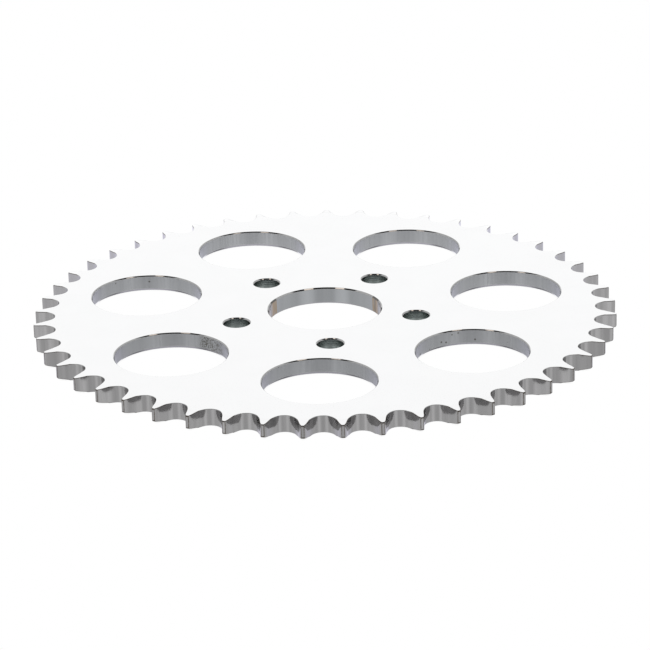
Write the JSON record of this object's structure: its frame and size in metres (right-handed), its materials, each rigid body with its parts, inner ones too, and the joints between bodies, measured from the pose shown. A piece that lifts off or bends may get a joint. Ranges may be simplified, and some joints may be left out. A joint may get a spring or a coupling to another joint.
{
  "type": "rear sprocket",
  "caption": "Flat chrome-plated steel chain sprocket for a motorcycle rear wheel, with a plain centre bore, hub bolt holes and round lightening holes.",
  "frame": {"origin": "on the bore's axis, half way through the plate's thickness, in the plane the chain runs in", "axes": "+Z along the bore's axis, out of the outer face, away from the wheel; one bolt hole and one tooth tip lie on -Y"},
  "size_m": [0.256, 0.2558, 0.0074],
  "materials": {
    "chrome_plate": "polished chrome plating on steel"
  },
  "bodies": {
    "root": {"sprocket_plate": "chrome_plate"}
  },
  "joints": []
}
